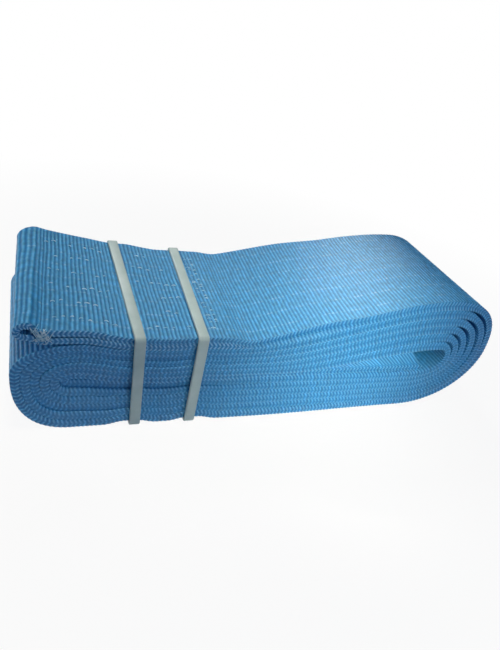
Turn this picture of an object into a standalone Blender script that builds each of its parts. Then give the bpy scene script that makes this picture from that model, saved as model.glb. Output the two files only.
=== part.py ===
"""A rolled webbing belt with a sewn end loop, held by two plastic ties.

Sizes are in metres. The roll lies on its flat side: X runs along it, Y runs across the
webbing with the near selvedge at -Y, and Z is up. The origin is on the resting face, in
the middle of the roll's length and of the webbing's width.
"""

import math

import bmesh
import bpy
import numpy as np
from mathutils import Vector

# Webbing
WEBBING_WIDTH = 0.050
WEBBING_THICKNESS = 0.00170
LEFT_BENDS = 6

# Air between neighbouring layers, at each stretch of the roll
FLAT_GAP = 0.00055
LEFT_BEND_GAP = 0.00105
RIGHT_FLOOR_GAP = 0.00095
RIGHT_SIDE_GAP = 0.00105
RIGHT_TOP_GAP = 0.00116

# Shape of the roll
RUN_LENGTH = 0.1165
LEFT_CORE_REACH = 0.0028
LEFT_INNER_SHARE = 0.50
LEFT_OUTER_SHARE = 0.68
SLIT_CLEARANCE = 0.00065
HOLE_HEIGHT = 0.0087
HOLE_REACH = 0.0044
BULB_LEAN = 0.009
BULB_SHARE = 0.57
WAIST_LENGTH = 0.043
INNER_END_INSET = 0.059
LEFT_TIE_LIFT = 0.0036
RIGHT_TIE_LIFT = 0.0023
LIFT_FALL_START = 0.068
LIFT_FALL = 0.030

# Ties
TIE_WIDTH = 0.0036
TIE_THICKNESS = 0.0011
TIE_AT = 0.035
TIE_SPACING = 0.020
TIE_CORNER = 0.0010
DENT_EASE = 4.5
SLOT_HEIGHT = 0.0150
HEAD_DEPTH = 0.0044
HEAD_WALL = 0.0010
ROOT_WALL = 0.0018
HEAD_ROUND = 0.0004
SLOT_SLACK = 0.00025
TAIL_TRIM = 0.0016
NOTCH_DEPTH = 0.0003
PAWL_LENGTH = 0.0027
PAWL_THICKNESS = 0.0008
PAWL_FOOT = 0.0007
PAWL_TOOTH = 0.0003
PAWL_TEETH = 3
PAWL_SWING = math.radians(8.0)

# End loop
EYE_NEAR_CREST = 0.0044
EYE_FAR_CREST = 0.0080
EYE_NEAR_REACH = 0.0026
EYE_FAR_REACH = 0.0045
FLAP_NEAR_RISE = 0.0009
FLAP_FAR_RISE = 0.0061
FLAP_EASE = 1.25
CURL_NEAR_RISE = 0.0031
CURL_FAR_RISE = 0.0003
CURL_LENGTH = 0.0060
CURL_FLOOR_RISE = 0.0009
TAIL_MARGIN = 0.0062
TAIL_STEP = 0.013

# Sewing thread
THREAD_RADIUS = 0.0003
SEAM_ROWS = 6
SEAM_MARGIN = 0.006
TACK_LENGTH = 0.0032
TACK_PITCH = 0.0030
THROAT_STITCHES = 4
THROAT_LENGTH = 0.0045

# Clearance between pieces that touch, and the steps that curves are drawn with
SEAT_GAP = 0.0003
BEND_STEPS = 13
RUN_STEP = 0.0075
DENT_STEPS = 5
LOOP_STEPS = 16
LOOP_ROWS = 9

# Colour and roughness
WEBBING_LOOK = ((0.055, 0.255, 0.520, 1.0), 0.75)
THREAD_LOOK = ((0.330, 0.560, 0.760, 1.0), 0.60)
TIE_LOOK = ((0.780, 0.800, 0.790, 1.0), 0.35)

# Sizes that follow from the ones above
HALF = WEBBING_THICKNESS / 2
PITCH = WEBBING_THICKNESS + FLAT_GAP
DENT = TIE_THICKNESS + SEAT_GAP
DENT_FLAT = TIE_WIDTH / 2 + SEAT_GAP
DENT_SLOPE = DENT_EASE * DENT
INNERMOST = LEFT_BENDS - 1
SLIT = WEBBING_THICKNESS + DENT + SLIT_CLEARANCE
LEFT_X = HALF + LEFT_CORE_REACH + INNERMOST * (WEBBING_THICKNESS + LEFT_BEND_GAP)
FLOOR_X = LEFT_X + RUN_LENGTH
CROWN_X = FLOOR_X + BULB_LEAN
WAIST_X = LEFT_X + WAIST_LENGTH
ROLL_LENGTH = CROWN_X + HOLE_REACH + LEFT_BENDS * (WEBBING_THICKNESS + RIGHT_SIDE_GAP) + HALF
TIE_X = (TIE_AT, TIE_AT + TIE_SPACING)
SPLIT_X = TIE_AT - TIE_WIDTH / 2 - 2 * SEAT_GAP
TAIL_END_X = TIE_X[1] + TIE_WIDTH / 2 + TAIL_MARGIN
NEAR_Y = -WEBBING_WIDTH / 2
FAR_Y = WEBBING_WIDTH / 2
HEAD_Y = FAR_Y + 2 * SEAT_GAP + TIE_THICKNESS
PAWL_Y = HEAD_Y + (HEAD_DEPTH - PAWL_LENGTH) / 2
PAWL_Z = SLOT_HEIGHT + TIE_THICKNESS / 2 + SEAT_GAP + PAWL_TOOTH + PAWL_THICKNESS / 2
TOOTH_PITCH = PAWL_LENGTH / (PAWL_TEETH + 1)
SLOT_FLOOR = SLOT_HEIGHT - TIE_THICKNESS / 2 - SLOT_SLACK
SLOT_ROOF = PAWL_Z + PAWL_THICKNESS / 2 + PAWL_LENGTH * math.sin(PAWL_SWING) + SEAT_GAP


def smoothstep(value):
    """An S-shaped ramp from 0 to 1."""
    ramp = min(max(value, 0.0), 1.0)
    return ramp * ramp * (3.0 - 2.0 * ramp)


def mix(start, end, share):
    return start + (end - start) * share


def place(x, y, z):
    """A point of the roll, with x counted from its left end."""
    return Vector((x - ROLL_LENGTH / 2, y, z))


def across(y):
    """0 at the near selvedge and 1 at the far one."""
    return (y - NEAR_Y) / WEBBING_WIDTH


def dent(x):
    """How far the lower layers are lifted where a tie passes under them."""
    reach = min(abs(x - tie) for tie in TIE_X)
    return DENT * (1.0 - smoothstep((reach - DENT_FLAT) / DENT_SLOPE))


def tied_lift(x, y):
    """How much higher the strap lies towards its far selvedge, level under each tie."""
    between = (x - TIE_X[0] - DENT_FLAT) / (TIE_SPACING - 2 * DENT_FLAT)
    fall = smoothstep((x - LEFT_X - LIFT_FALL_START) / LIFT_FALL)
    return mix(LEFT_TIE_LIFT, RIGHT_TIE_LIFT, smoothstep(between)) * (1.0 - fall) * across(y)


def far_lift(x, y):
    """The same lift in the roll, where it starts at the left bends."""
    return tied_lift(x, y) * smoothstep((x - LEFT_X) / (SPLIT_X - LEFT_X))


def lower_layer(layer, x):
    """Middle height of a lower layer: 0 lies on the floor, LEFT_BENDS is the inner end."""
    loosening = smoothstep((x - WAIST_X) / (FLOOR_X - WAIST_X))
    pitch = WEBBING_THICKNESS + mix(FLAT_GAP, RIGHT_FLOOR_GAP, loosening)
    return HALF + layer * pitch + dent(x)


def upper_layer(layer, x):
    """Middle height of an upper layer: -1 is the outermost one, on top of layer 0."""
    waist = HALF + INNERMOST * PITCH + SLIT + (INNERMOST - layer) * PITCH
    inner_end = HALF + LEFT_BENDS * (WEBBING_THICKNESS + RIGHT_FLOOR_GAP)
    hole_top = inner_end + HOLE_HEIGHT + WEBBING_THICKNESS
    crown = hole_top + (INNERMOST - layer) * (WEBBING_THICKNESS + RIGHT_TOP_GAP)
    return mix(waist, crown, smoothstep((x - WAIST_X) / (CROWN_X - WAIST_X)))


def outer_layer(x):
    """Middle height of the outermost layer, which rides up over the sewn tail."""
    ride = PITCH * (1.0 - smoothstep((x - TAIL_END_X - 2 * SEAT_GAP) / TAIL_STEP))
    return upper_layer(-1, x) + ride


def run_stations(start, end):
    """Steps along a straight run, closer together at the ties' dents."""
    low, high = sorted((start, end))
    edges = np.linspace(DENT_FLAT, DENT_FLAT + DENT_SLOPE, DENT_STEPS)
    dents = {tie + side * edge for tie in TIE_X for side in (-1, 1) for edge in edges}
    even = np.linspace(start, end, max(2, round((high - low) / RUN_STEP)) + 1)
    stations = {x for x in even if min(abs(x - tie) for tie in TIE_X) > edges[-1]}
    stations |= {x for x in dents if low < x < high}
    stations |= {start, end}
    return sorted(stations, reverse=end < start)


def quarter(centre_x, centre_z, reach, height, from_angle, to_angle):
    """Points of a quarter ellipse, without its last one."""
    angles = np.linspace(from_angle, to_angle, BEND_STEPS // 2 + 1)[:-1]
    return [(centre_x + reach * math.cos(a), centre_z + height * math.sin(a)) for a in angles]


def right_bend(layer):
    """From a lower layer, round the right end, to the upper layer one step further out."""
    low = lower_layer(layer, FLOOR_X)
    high = outer_layer(CROWN_X) if layer == 0 else upper_layer(layer - 1, CROWN_X)
    middle = mix(low, high, BULB_SHARE)
    tip = CROWN_X + HOLE_REACH + (LEFT_BENDS - layer) * (WEBBING_THICKNESS + RIGHT_SIDE_GAP)
    under = quarter(FLOOR_X, middle, tip - FLOOR_X, middle - low, -math.pi / 2, 0.0)
    over = quarter(CROWN_X, middle, tip - CROWN_X, high - middle, 0.0, math.pi / 2)
    return under + over


def left_bend(layer):
    """From an upper layer, round the left end, to the lower layer of the same number."""
    low = lower_layer(layer, LEFT_X)
    high = upper_layer(layer, LEFT_X)
    outwards = INNERMOST - layer
    reach = LEFT_CORE_REACH + outwards * (WEBBING_THICKNESS + LEFT_BEND_GAP)
    share = mix(LEFT_INNER_SHARE, LEFT_OUTER_SHARE, outwards / INNERMOST)
    middle = mix(low, high, share)
    down = quarter(LEFT_X, middle, reach, high - middle, math.pi / 2, math.pi)
    return down + quarter(LEFT_X, middle, reach, middle - low, math.pi, 1.5 * math.pi)


def winding():
    """The strap from its inner end outwards: x, z and whether far_lift acts on the point."""
    path = []
    for layer in range(LEFT_BENDS, -1, -1):
        start = LEFT_X + INNER_END_INSET if layer == LEFT_BENDS else LEFT_X
        path += [(x, lower_layer(layer, x), 0) for x in run_stations(start, FLOOR_X)[:-1]]
        path += [(x, z, 0) for x, z in right_bend(layer)]
        if layer == 0:
            path += [(x, outer_layer(x), 1) for x in run_stations(CROWN_X, SPLIT_X)]
        else:
            runs = run_stations(CROWN_X, LEFT_X)[:-1]
            path += [(x, upper_layer(layer - 1, x), 1) for x in runs]
            path += [(x, z, 0) for x, z in left_bend(layer - 1)]
    return path


def section(path, y):
    return [place(x, y, z + lifted * far_lift(x, y)) for x, z, lifted in path]


def eye_shape(y):
    """The eye's crest, its reach, the flap's rise and the curl's, at one place across the width."""
    near = (EYE_NEAR_CREST, EYE_NEAR_REACH, FLAP_NEAR_RISE, CURL_NEAR_RISE)
    far = (EYE_FAR_CREST, EYE_FAR_REACH, FLAP_FAR_RISE, CURL_FAR_RISE)
    return [mix(one, other, across(y)) for one, other in zip(near, far)]


def curl(x, crest):
    """A ramp from 0 to 1 over the last stretch before the eye's crest."""
    return smoothstep((crest + CURL_LENGTH - x) / CURL_LENGTH)


def eye_upper(x, y):
    """Middle height of the loop's upper ply, which rises and then curls up at the eye."""
    crest, _, flap_rise, curl_rise = eye_shape(y)
    slope = max(SPLIT_X - x, 0.0) / (SPLIT_X - crest)
    rise = flap_rise * slope**FLAP_EASE + curl_rise * curl(x, crest)
    return outer_layer(x) + tied_lift(x, y) + rise


def eye_lower(x, y):
    """Middle height of the loop's return ply."""
    floor_rise = CURL_FLOOR_RISE * curl(x, eye_shape(y)[0]) * (1.0 - across(y))
    return upper_layer(-1, x) + tied_lift(x, y) + floor_rise


def eye_path(y):
    """The loop's fold at one place across the width, from the outer ply round to the tail."""
    crest, reach, _, _ = eye_shape(y)
    end = SPLIT_X - SEAT_GAP
    stations = np.linspace(end, crest, LOOP_STEPS)
    points = [place(x, y, eye_upper(x, y)) for x in stations]
    high = eye_upper(crest, y)
    low = eye_lower(crest, y)
    middle = (high + low) / 2
    for angle in np.linspace(math.pi / 2, 1.5 * math.pi, BEND_STEPS)[1:-1]:
        x = crest + reach * math.cos(angle)
        points.append(place(x, y, middle + (high - middle) * math.sin(angle)))
    return points + [place(x, y, eye_lower(x, y)) for x in stations[::-1]]


def tail_path(y):
    """The sewn return ply, from the loop to its cut end."""
    stations = np.linspace(SPLIT_X, TAIL_END_X, BEND_STEPS)
    return [place(x, y, eye_lower(x, y)) for x in stations]


def outer_top(x, y):
    """Height of the outermost layer's upper face."""
    return outer_layer(x) + far_lift(x, y) + HALF


def material(name, colour, roughness):
    made = bpy.data.materials.new(name)
    made.use_nodes = True
    shader = made.node_tree.nodes["Principled BSDF"]
    shader.inputs["Base Color"].default_value = colour
    shader.inputs["Roughness"].default_value = roughness
    shader.inputs["Metallic"].default_value = 0.0
    return made


def finish(thing, look, collection):
    """Put an object in its collection with its own material."""
    for owner in list(thing.users_collection):
        owner.objects.unlink(thing)
    collection.objects.link(thing)
    thing.data.materials.clear()
    thing.data.materials.append(material(thing.name, *look))
    return thing


def ribbon(name, sections, thickness, origin):
    """Bend a grid through the sections and thicken it into a strap."""
    columns = len(sections[0]) - 1
    rows = len(sections) - 1
    mesh = bpy.data.meshes.new(name)
    work = bmesh.new()
    bmesh.ops.create_grid(work, x_segments=columns, y_segments=rows, size=1.0)
    for vertex in work.verts:
        column = round((vertex.co.x + 1.0) / 2.0 * columns)
        row = round((vertex.co.y + 1.0) / 2.0 * rows)
        vertex.co = sections[row][column] - origin
    work.to_mesh(mesh)
    work.free()
    mesh.shade_smooth()
    strap = bpy.data.objects.new(name, mesh)
    strap.location = origin
    shell = strap.modifiers.new("Thickness", "SOLIDIFY")
    shell.thickness = thickness
    shell.offset = 0.0
    shell.use_even_offset = True
    return strap


def thread(name, points, origin):
    """A round thread along a chain of points."""
    curve = bpy.data.curves.new(name, "CURVE")
    curve.dimensions = "3D"
    curve.bevel_depth = THREAD_RADIUS
    curve.bevel_resolution = 1
    curve.use_fill_caps = True
    spline = curve.splines.new("POLY")
    spline.points.add(len(points) - 1)
    for knot, point in zip(spline.points, points):
        knot.co = (*(point - origin), 1.0)
    sewn = bpy.data.objects.new(name, curve)
    sewn.location = origin
    return sewn


def block(name, centre, size, collection):
    """A box that only shapes other pieces."""
    bpy.ops.mesh.primitive_cube_add(size=1.0, location=centre)
    made = bpy.context.object
    made.name = name
    for vertex in made.data.vertices:
        vertex.co = [a * b for a, b in zip(vertex.co, size)]
    for owner in list(made.users_collection):
        owner.objects.unlink(made)
    collection.objects.link(made)
    made.hide_render = True
    made.display_type = "WIRE"
    return made


def combine(target, operation, tool):
    change = target.modifiers.new(operation.title(), "BOOLEAN")
    change.operation = operation
    change.object = tool
    change.solver = "EXACT"


def serpentine(start_x, end_x, height):
    """Rows of stitching up and down the strap, joined at their ends into one thread."""
    points = []
    stations = np.linspace(start_x, end_x, LOOP_STEPS)
    for row, y in enumerate(np.linspace(NEAR_Y + SEAM_MARGIN, FAR_Y - SEAM_MARGIN, SEAM_ROWS)):
        ordered = stations if row % 2 == 0 else stations[::-1]
        points += [place(x, y, height(x, y)) for x in ordered]
    return points


def ladder(start_x, end_x, height):
    """Cross stitches back and forth over a short block across the width."""
    points = []
    count = round((WEBBING_WIDTH - 2 * SEAM_MARGIN) / TACK_PITCH)
    for rung, y in enumerate(np.linspace(NEAR_Y + SEAM_MARGIN, FAR_Y - SEAM_MARGIN, count + 1)):
        ends = (start_x, end_x) if rung % 2 == 0 else (end_x, start_x)
        points += [place(x, y, height(x, y)) for x in ends]
    return points


def throat_zigzag():
    """Stitches over the near edge of the two plies, just behind the eye."""
    points = []
    start = EYE_NEAR_CREST + CURL_LENGTH
    y = NEAR_Y - SEAT_GAP - THREAD_RADIUS
    for knot, x in enumerate(np.linspace(start, start + THROAT_LENGTH, 2 * THROAT_STITCHES)):
        points.append(place(x, y, eye_lower(x, NEAR_Y) if knot % 2 else eye_upper(x, NEAR_Y)))
    return points


def rounded(corners, radius):
    """Points along a chain of corners, each turned into an arc where it has room."""
    points = [corners[0]]
    for before, corner, after in zip(corners, corners[1:], corners[2:]):
        back = (before - corner).normalized()
        ahead = (after - corner).normalized()
        half_turn = back.angle(ahead) / 2
        trim = radius / math.tan(half_turn)
        centre = corner + (back + ahead).normalized() * (radius / math.sin(half_turn))
        first = corner + back * trim - centre
        last = corner + ahead * trim - centre
        steps = BEND_STEPS // 3
        points += [centre + first.slerp(last, step / steps) * radius for step in range(steps + 1)]
    return points + [corners[-1]]


def tie_path(x):
    """The tie from its head up the far face, round the roll and out through the slot."""
    off = SEAT_GAP + TIE_THICKNESS / 2
    near = NEAR_Y - off
    far = FAR_Y + off
    floor = TIE_THICKNESS / 2
    root_z = SLOT_ROOF + ROOT_WALL / 2
    corners = [
        (HEAD_Y + HEAD_DEPTH / 2, root_z),
        (far, root_z),
        (far, outer_top(x, far) + off),
        (near, outer_top(x, near) + off),
        (near, floor),
        (far, floor),
        (far, SLOT_HEIGHT),
        (HEAD_Y + HEAD_DEPTH + TAIL_TRIM, SLOT_HEIGHT),
    ]
    return rounded([Vector((0.0, y, z)) for y, z in corners], TIE_CORNER)


def cut_teeth(strap, x, cutters):
    """Cut a row of notches for the pawl in the tail's upper face."""
    side = NOTCH_DEPTH * math.sqrt(2.0)
    tail_end = HEAD_Y + HEAD_DEPTH + TAIL_TRIM
    for number, y in enumerate(np.arange(HEAD_Y + TOOTH_PITCH, tail_end, TOOTH_PITCH)):
        centre = place(x, y, SLOT_HEIGHT + TIE_THICKNESS / 2)
        size = (TIE_WIDTH + SLOT_SLACK, side, side)
        notch = block(f"{strap.name}_notch_{number}", centre, size, cutters)
        notch.rotation_euler.x = math.pi / 4
        combine(strap, "DIFFERENCE", notch)


def tie(name, x, parts, cutters):
    """One moulding: a strap round the roll and the head that its tail passes through."""
    path = tie_path(x)
    sides = (x - TIE_WIDTH / 2, x + TIE_WIDTH / 2)
    sections = [[place(side, point.y, point.z) for point in path] for side in sides]
    strap = ribbon(name, sections, TIE_THICKNESS, place(x, 0.0, 0.0))
    slot_width = TIE_WIDTH + 2 * SLOT_SLACK
    bottom = SLOT_FLOOR - HEAD_WALL
    top = SLOT_ROOF + ROOT_WALL
    middle_y = HEAD_Y + HEAD_DEPTH / 2
    head_size = (slot_width + 2 * HEAD_WALL, HEAD_DEPTH, top - bottom)
    head = block(name + "_head", place(x, middle_y, (bottom + top) / 2), head_size, cutters)
    edges = head.modifiers.new("Round", "BEVEL")
    edges.width = HEAD_ROUND
    edges.segments = 2
    slot_size = (slot_width, 2 * HEAD_DEPTH, SLOT_ROOF - SLOT_FLOOR)
    slot_centre = place(x, middle_y, (SLOT_FLOOR + SLOT_ROOF) / 2)
    slot = block(name + "_slot", slot_centre, slot_size, cutters)
    combine(head, "DIFFERENCE", slot)
    combine(strap, "UNION", head)
    cut_teeth(strap, x, cutters)
    return finish(strap, TIE_LOOK, parts)


def pawl(name, x, parts):
    """The toothed tongue in a tie's head, standing on a foot under the slot's roof."""
    curve = bpy.data.curves.new(name, "CURVE")
    curve.dimensions = "2D"
    curve.fill_mode = "BOTH"
    curve.extrude = TIE_WIDTH / 2 - SLOT_SLACK
    face = PAWL_THICKNESS / 2
    foot = SLOT_ROOF - SEAT_GAP - PAWL_Z
    outline = [(0.0, foot), (0.0, -face)]
    for tooth in range(1, PAWL_TEETH + 1):
        start = tooth * TOOTH_PITCH
        outline += [(start, -face), (start + TOOTH_PITCH, -face - PAWL_TOOTH)]
    outline += [(PAWL_LENGTH, face), (PAWL_FOOT, face), (PAWL_FOOT, foot)]
    spline = curve.splines.new("POLY")
    spline.points.add(len(outline) - 1)
    for knot, (along, up) in zip(spline.points, outline):
        knot.co = (along, up, 0.0, 1.0)
    spline.use_cyclic_u = True
    tongue = bpy.data.objects.new(name, curve)
    tongue.rotation_euler = (math.pi / 2, 0.0, math.pi / 2)
    tongue.location = place(x, PAWL_Y, PAWL_Z)
    return finish(tongue, TIE_LOOK, parts)


def least_gap(path, y):
    """Least air between any two turns of the winding, measured on points along it."""
    points = np.array([(p.x, p.z) for p in section(path, y)])
    spans = np.linalg.norm(np.diff(points, axis=0), axis=1)
    along = np.concatenate([[0.0], np.cumsum(spans)])
    fine = np.linspace(0.0, along[-1], int(along[-1] / (WEBBING_THICKNESS / 3)))
    dense = np.stack([np.interp(fine, along, points[:, axis]) for axis in (0, 1)], axis=1)
    least = math.inf
    for index in range(len(dense)):
        apart = fine > fine[index] + math.pi * (SLIT + WEBBING_THICKNESS) / 2
        if apart.any():
            gaps = np.linalg.norm(dense[apart] - dense[index], axis=1)
            least = min(least, gaps.min())
    return least - WEBBING_THICKNESS, along[-1]


def build():
    for old in list(bpy.data.objects):
        bpy.data.objects.remove(old, do_unlink=True)
    parts = bpy.data.collections.new("Rolled belt")
    cutters = bpy.data.collections.new("Rolled belt cutters")
    for group in (parts, cutters):
        bpy.context.scene.collection.children.link(group)

    path = winding()
    zero = Vector((0.0, 0.0, 0.0))
    rows = np.linspace(NEAR_Y, FAR_Y, 3)
    roll = ribbon("belt_roll", [section(path, y) for y in rows], WEBBING_THICKNESS, zero)
    finish(roll, WEBBING_LOOK, parts)
    tail = ribbon("loop_tail", [tail_path(y) for y in rows], WEBBING_THICKNESS, zero)
    finish(tail, WEBBING_LOOK, parts)

    hinge = place(SPLIT_X, 0.0, outer_top(SPLIT_X, FAR_Y))
    loop_rows = np.linspace(NEAR_Y, FAR_Y, LOOP_ROWS)
    loop = ribbon("end_loop", [eye_path(y) for y in loop_rows], WEBBING_THICKNESS, hinge)
    finish(loop, WEBBING_LOOK, parts)

    def on_top(x, y):
        return outer_top(x, y) + SEAT_GAP + THREAD_RADIUS

    def on_loop(x, y):
        slope = (eye_upper(x + SEAT_GAP, y) - eye_upper(x - SEAT_GAP, y)) / (2 * SEAT_GAP)
        cover = HALF + SEAT_GAP + THREAD_RADIUS
        return eye_upper(x, y) + cover * math.hypot(1.0, slope)

    clear = TIE_WIDTH / 2 + 2 * SEAT_GAP + THREAD_RADIUS
    seam_start = EYE_FAR_CREST + EYE_NEAR_REACH
    seam = serpentine(seam_start, SPLIT_X - clear, on_loop)
    finish(thread("loop_seam", seam, hinge), THREAD_LOOK, parts)
    finish(thread("throat_stitch", throat_zigzag(), hinge), THREAD_LOOK, parts)
    seam = serpentine(TIE_X[0] + clear, TIE_X[1] - clear, on_top)
    finish(thread("tail_seam", seam, zero), THREAD_LOOK, parts)
    tack_start = TIE_X[1] + clear
    tack = ladder(tack_start, tack_start + TACK_LENGTH, on_top)
    finish(thread("end_tack", tack, zero), THREAD_LOOK, parts)

    for side, x in zip(("left", "right"), TIE_X):
        tie("tie_" + side, x, parts, cutters)
        pawl("pawl_" + side, x, parts)

    gap, length = min(least_gap(path, y) for y in (NEAR_Y, FAR_Y))
    print(f"least gap of the winding to itself: {gap * 1000:.2f} mm")
    print(f"length of webbing in the winding: {length:.2f} m")
    print("loop hinge at", [round(value, 5) for value in hinge])
    for side, x in zip(("left", "right"), TIE_X):
        at = bpy.data.objects["pawl_" + side].location
        print("pawl hinge", side, [round(value, 5) for value in at])


build()
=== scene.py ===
"""Looks of a rolled webbing belt: the wound strap, its sewn end loop, the stitching and two ties.

Sizes are in metres, in the frame of the solids. Along the roll x is counted from its left end,
as in the solids' own source, and frame_x() turns it into the frame's x.
"""

import math

import bpy
import numpy as np
from mathutils import Matrix, Vector


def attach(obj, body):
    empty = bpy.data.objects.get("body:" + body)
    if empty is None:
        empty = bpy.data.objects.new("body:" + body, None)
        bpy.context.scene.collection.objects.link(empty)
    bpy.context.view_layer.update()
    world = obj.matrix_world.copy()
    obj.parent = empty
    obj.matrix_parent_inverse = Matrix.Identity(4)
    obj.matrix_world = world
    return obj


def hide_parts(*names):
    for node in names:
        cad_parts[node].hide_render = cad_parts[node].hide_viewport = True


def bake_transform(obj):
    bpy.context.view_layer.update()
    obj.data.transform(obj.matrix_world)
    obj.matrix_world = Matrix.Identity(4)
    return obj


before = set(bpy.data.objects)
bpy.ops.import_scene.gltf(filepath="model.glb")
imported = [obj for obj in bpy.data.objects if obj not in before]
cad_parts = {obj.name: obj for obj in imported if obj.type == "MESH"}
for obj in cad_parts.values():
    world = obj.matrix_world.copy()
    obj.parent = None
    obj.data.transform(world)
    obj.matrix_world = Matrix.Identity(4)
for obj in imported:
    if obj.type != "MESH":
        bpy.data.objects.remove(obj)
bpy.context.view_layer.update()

# Webbing as it looks: squeezed thin under the ties, and fuller where the roll is loose
WIDTH = 0.050
THICKNESS = 0.00196
HALF = THICKNESS / 2
LAYER_GAP = 0.00002
CRESCENT_GAP = 0.0007
CRESCENT_RISE = (0.4, 0.65)
CRESCENT_FALL = (1.0, 0.75)
EDGE_SQUARENESS = 6
EDGE_ROUND = 0.00010
EDGE_BAND = 0.00030
EDGE_HEIGHTS = (0.0, 0.25, 0.5, 0.75, 0.95, 1.0)
INNER_EDGE_HEIGHTS = (0.0, 0.45, 0.93, 1.0)

# Roll: layers carry the solids' numbers, which count inwards
LEFT_BENDS = 6
INNERMOST = LEFT_BENDS - 1
ROLL_LENGTH = 0.16465
LEFT_X = 0.0174
FLOOR_X = 0.1339
CROWN_X = 0.1429
INNER_END_X = 0.1398
INNER_END_SLANT = 0.0070
EDGE_SAG = 0.08
STEP = 0.0004
LOWER_PITCH = (0.0028, 0.00245)
LOWER_SQUEEZE_X = (0.018, 0.036)
REST_GAP = 0.0001
CORE_GAP = 0.0008
LEFT_CORE_REACH = 0.0028
LEFT_PITCH = 0.00266
LEFT_INNER_SHARE = 0.50
LEFT_OUTER_SHARE = 0.68
LEFT_FAR_INSET = 0.0015
PITCH = 0.0020
LEFT_SQUARENESS = 2.35
HOLE_REACH = 0.0053
RIGHT_SIDE_PITCH = 0.00300
BULB_SHARE = 0.57
LAST_RISE = 0.018

# What differs between the near and the far selvedge, in that order
BULB_SQUARENESS = (2.5, 2.1)
RISE_X = (0.0640, 0.0570)
CROWN_LOW = (0.0259, 0.0274)
CROWN_PITCH = (0.00338, 0.00329)
LEFT_TIE_LIFT = 0.0054
RIGHT_TIE_LIFT = 0.0036
LIFT_SHARE = (0.5, 1.0)
SETTLE_X = (0.066, 0.100)

# How far layers stand behind the near face
STAGGERS = ((0.00026, 0.063, 0.0), (0.00016, 0.0227, 1.0))
SLIP = 0.0022
SLIP_RISE = (0.060, 0.092)
SLIP_FALL = (0.094, 0.114)
LOWER_SLIP = {0: -0.0012, 1: -0.0006, 5: 0.0006}
LOWER_SLIP_X = (0.130, 0.075)
INNER_END_SLIP = 0.0006
INNER_END_SLIP_X = (0.055, 0.080)

# Sewn end loop
JOIN_X = 0.0350
SPLIT_X = 0.0326
TAIL_END_X = 0.0712
TAIL_STEP = (0.0622, 0.0722)
FLAP_LIFT = 0.00035
FLAP_LIFT_X = (0.0326, 0.0246)
EYE_NEAR = {"crest": 0.0044, "reach": 0.0028, "flap": 0.0006, "curl": 0.0024}
EYE_FAR = {"crest": 0.0088, "reach": 0.0046, "flap": 0.0042, "curl": 0.0002}
FLAP_EASE = 1.25
CURL_LENGTH = 0.0036
CURL_FLOOR_RISE = 0.0013

# Weave: cross ribs, lengthwise binder rows and the chevrons of the selvedge
RIB = 0.00128
GROOVE = 0.00026
RIB_SHARPNESS = 1.5
RIB_WANDER = (0.00009, 0.0043, 0.037)
FINE_WANDER = (0.00006, 0.0017)
BINDER_ROWS = 7
BINDER_WIDTH = 0.0005
BINDER_RISE = 0.00006
BINDER_SPREAD = WIDTH / (BINDER_ROWS + 0.4)
CHEVRON = 0.00020
CHEVRON_SLANT = 0.5
MIDDLE_GROOVE = (0.45, 0.2)
COLUMNS_PER_RIB = 6
INNER_COLUMNS_PER_RIB = 4

# Sewing thread
THREAD_RADIUS = 0.00014
THREAD_LAY = 0.0012
STITCH = 0.00256
STITCH_LENGTHS = (0.0007, 0.0015)
STITCH_WANDER = 0.0008
STITCH_SHOWS = 0.68
STITCH_DIVE = (0.5, 1.9)
SEAM_ROWS = 6
SEAM_MARGIN = 0.006
LOOP_SEAM_X = (0.0106, 0.0299)
TAIL_SEAM_X = (0.0377, 0.0523)
TACK_X = (0.0577, 0.0616)
TACK_PITCH = 0.0021
THROAT_X = (0.0062, 0.0098)
THROAT_STITCHES = 5
THROAT_LEAN = 0.0012
THROAT_WRAP = 0.0012
FIBRES = 26
FIBRE_RADIUS = 0.00009
FIBRE_REACH = 0.0016
FIBRE_BOW = (0.0002, 0.0007)
SEED = 11

# Ties: each runs a little askew round the roll, from its head at the solid's place
TIE_X = (0.035, 0.055)
TIE_SKEW = {"left": (-0.0011, 0.0, 0.0012), "right": (0.0006, -0.0009, -0.0014)}
TIE_WIDTH = 0.0033
TIE_THICKNESS = 0.0011
TIE_ROUND = 0.00034
TIE_CORNER = 0.0010
TIE_REACH = WIDTH / 2 + 0.00085
TIE_SEAT = 0.00004
DENT_FLAT = 0.0021
DENT_SLOPE = 0.0063
DENT_FADE = 0.12
SLOT_Z = 0.0150
SLOT_LOW = 0.0142
SLOT_HIGH = 0.01763
HEAD_Y = (0.0267, 0.0311)
HEAD_Z = (0.0132, 0.01943)
HEAD_WALL = 0.0010
HEAD_ROUND = 0.00055
SLOT_WIDTH = 0.0041
ROOT_Z = 0.01853
TAIL_END_Y = 0.0327
TOOTH = 0.00030
TOOTH_PITCH = 0.000675

# Camera: where it stands in the roll's own measure, and the photo's frame
CAMERA_AT = (-0.002570, -0.169586, 0.132673)
CAMERA_RIGHT = (0.92660735, -0.31793807, 0.20078399)
CAMERA_DOWN = (-0.00949232, -0.55356392, -0.83275260)
FOCAL_PIXELS = 620.0
FRAME_WIDTH = 500.0
SENSOR = 36.0
CLIP_START = 0.01

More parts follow.
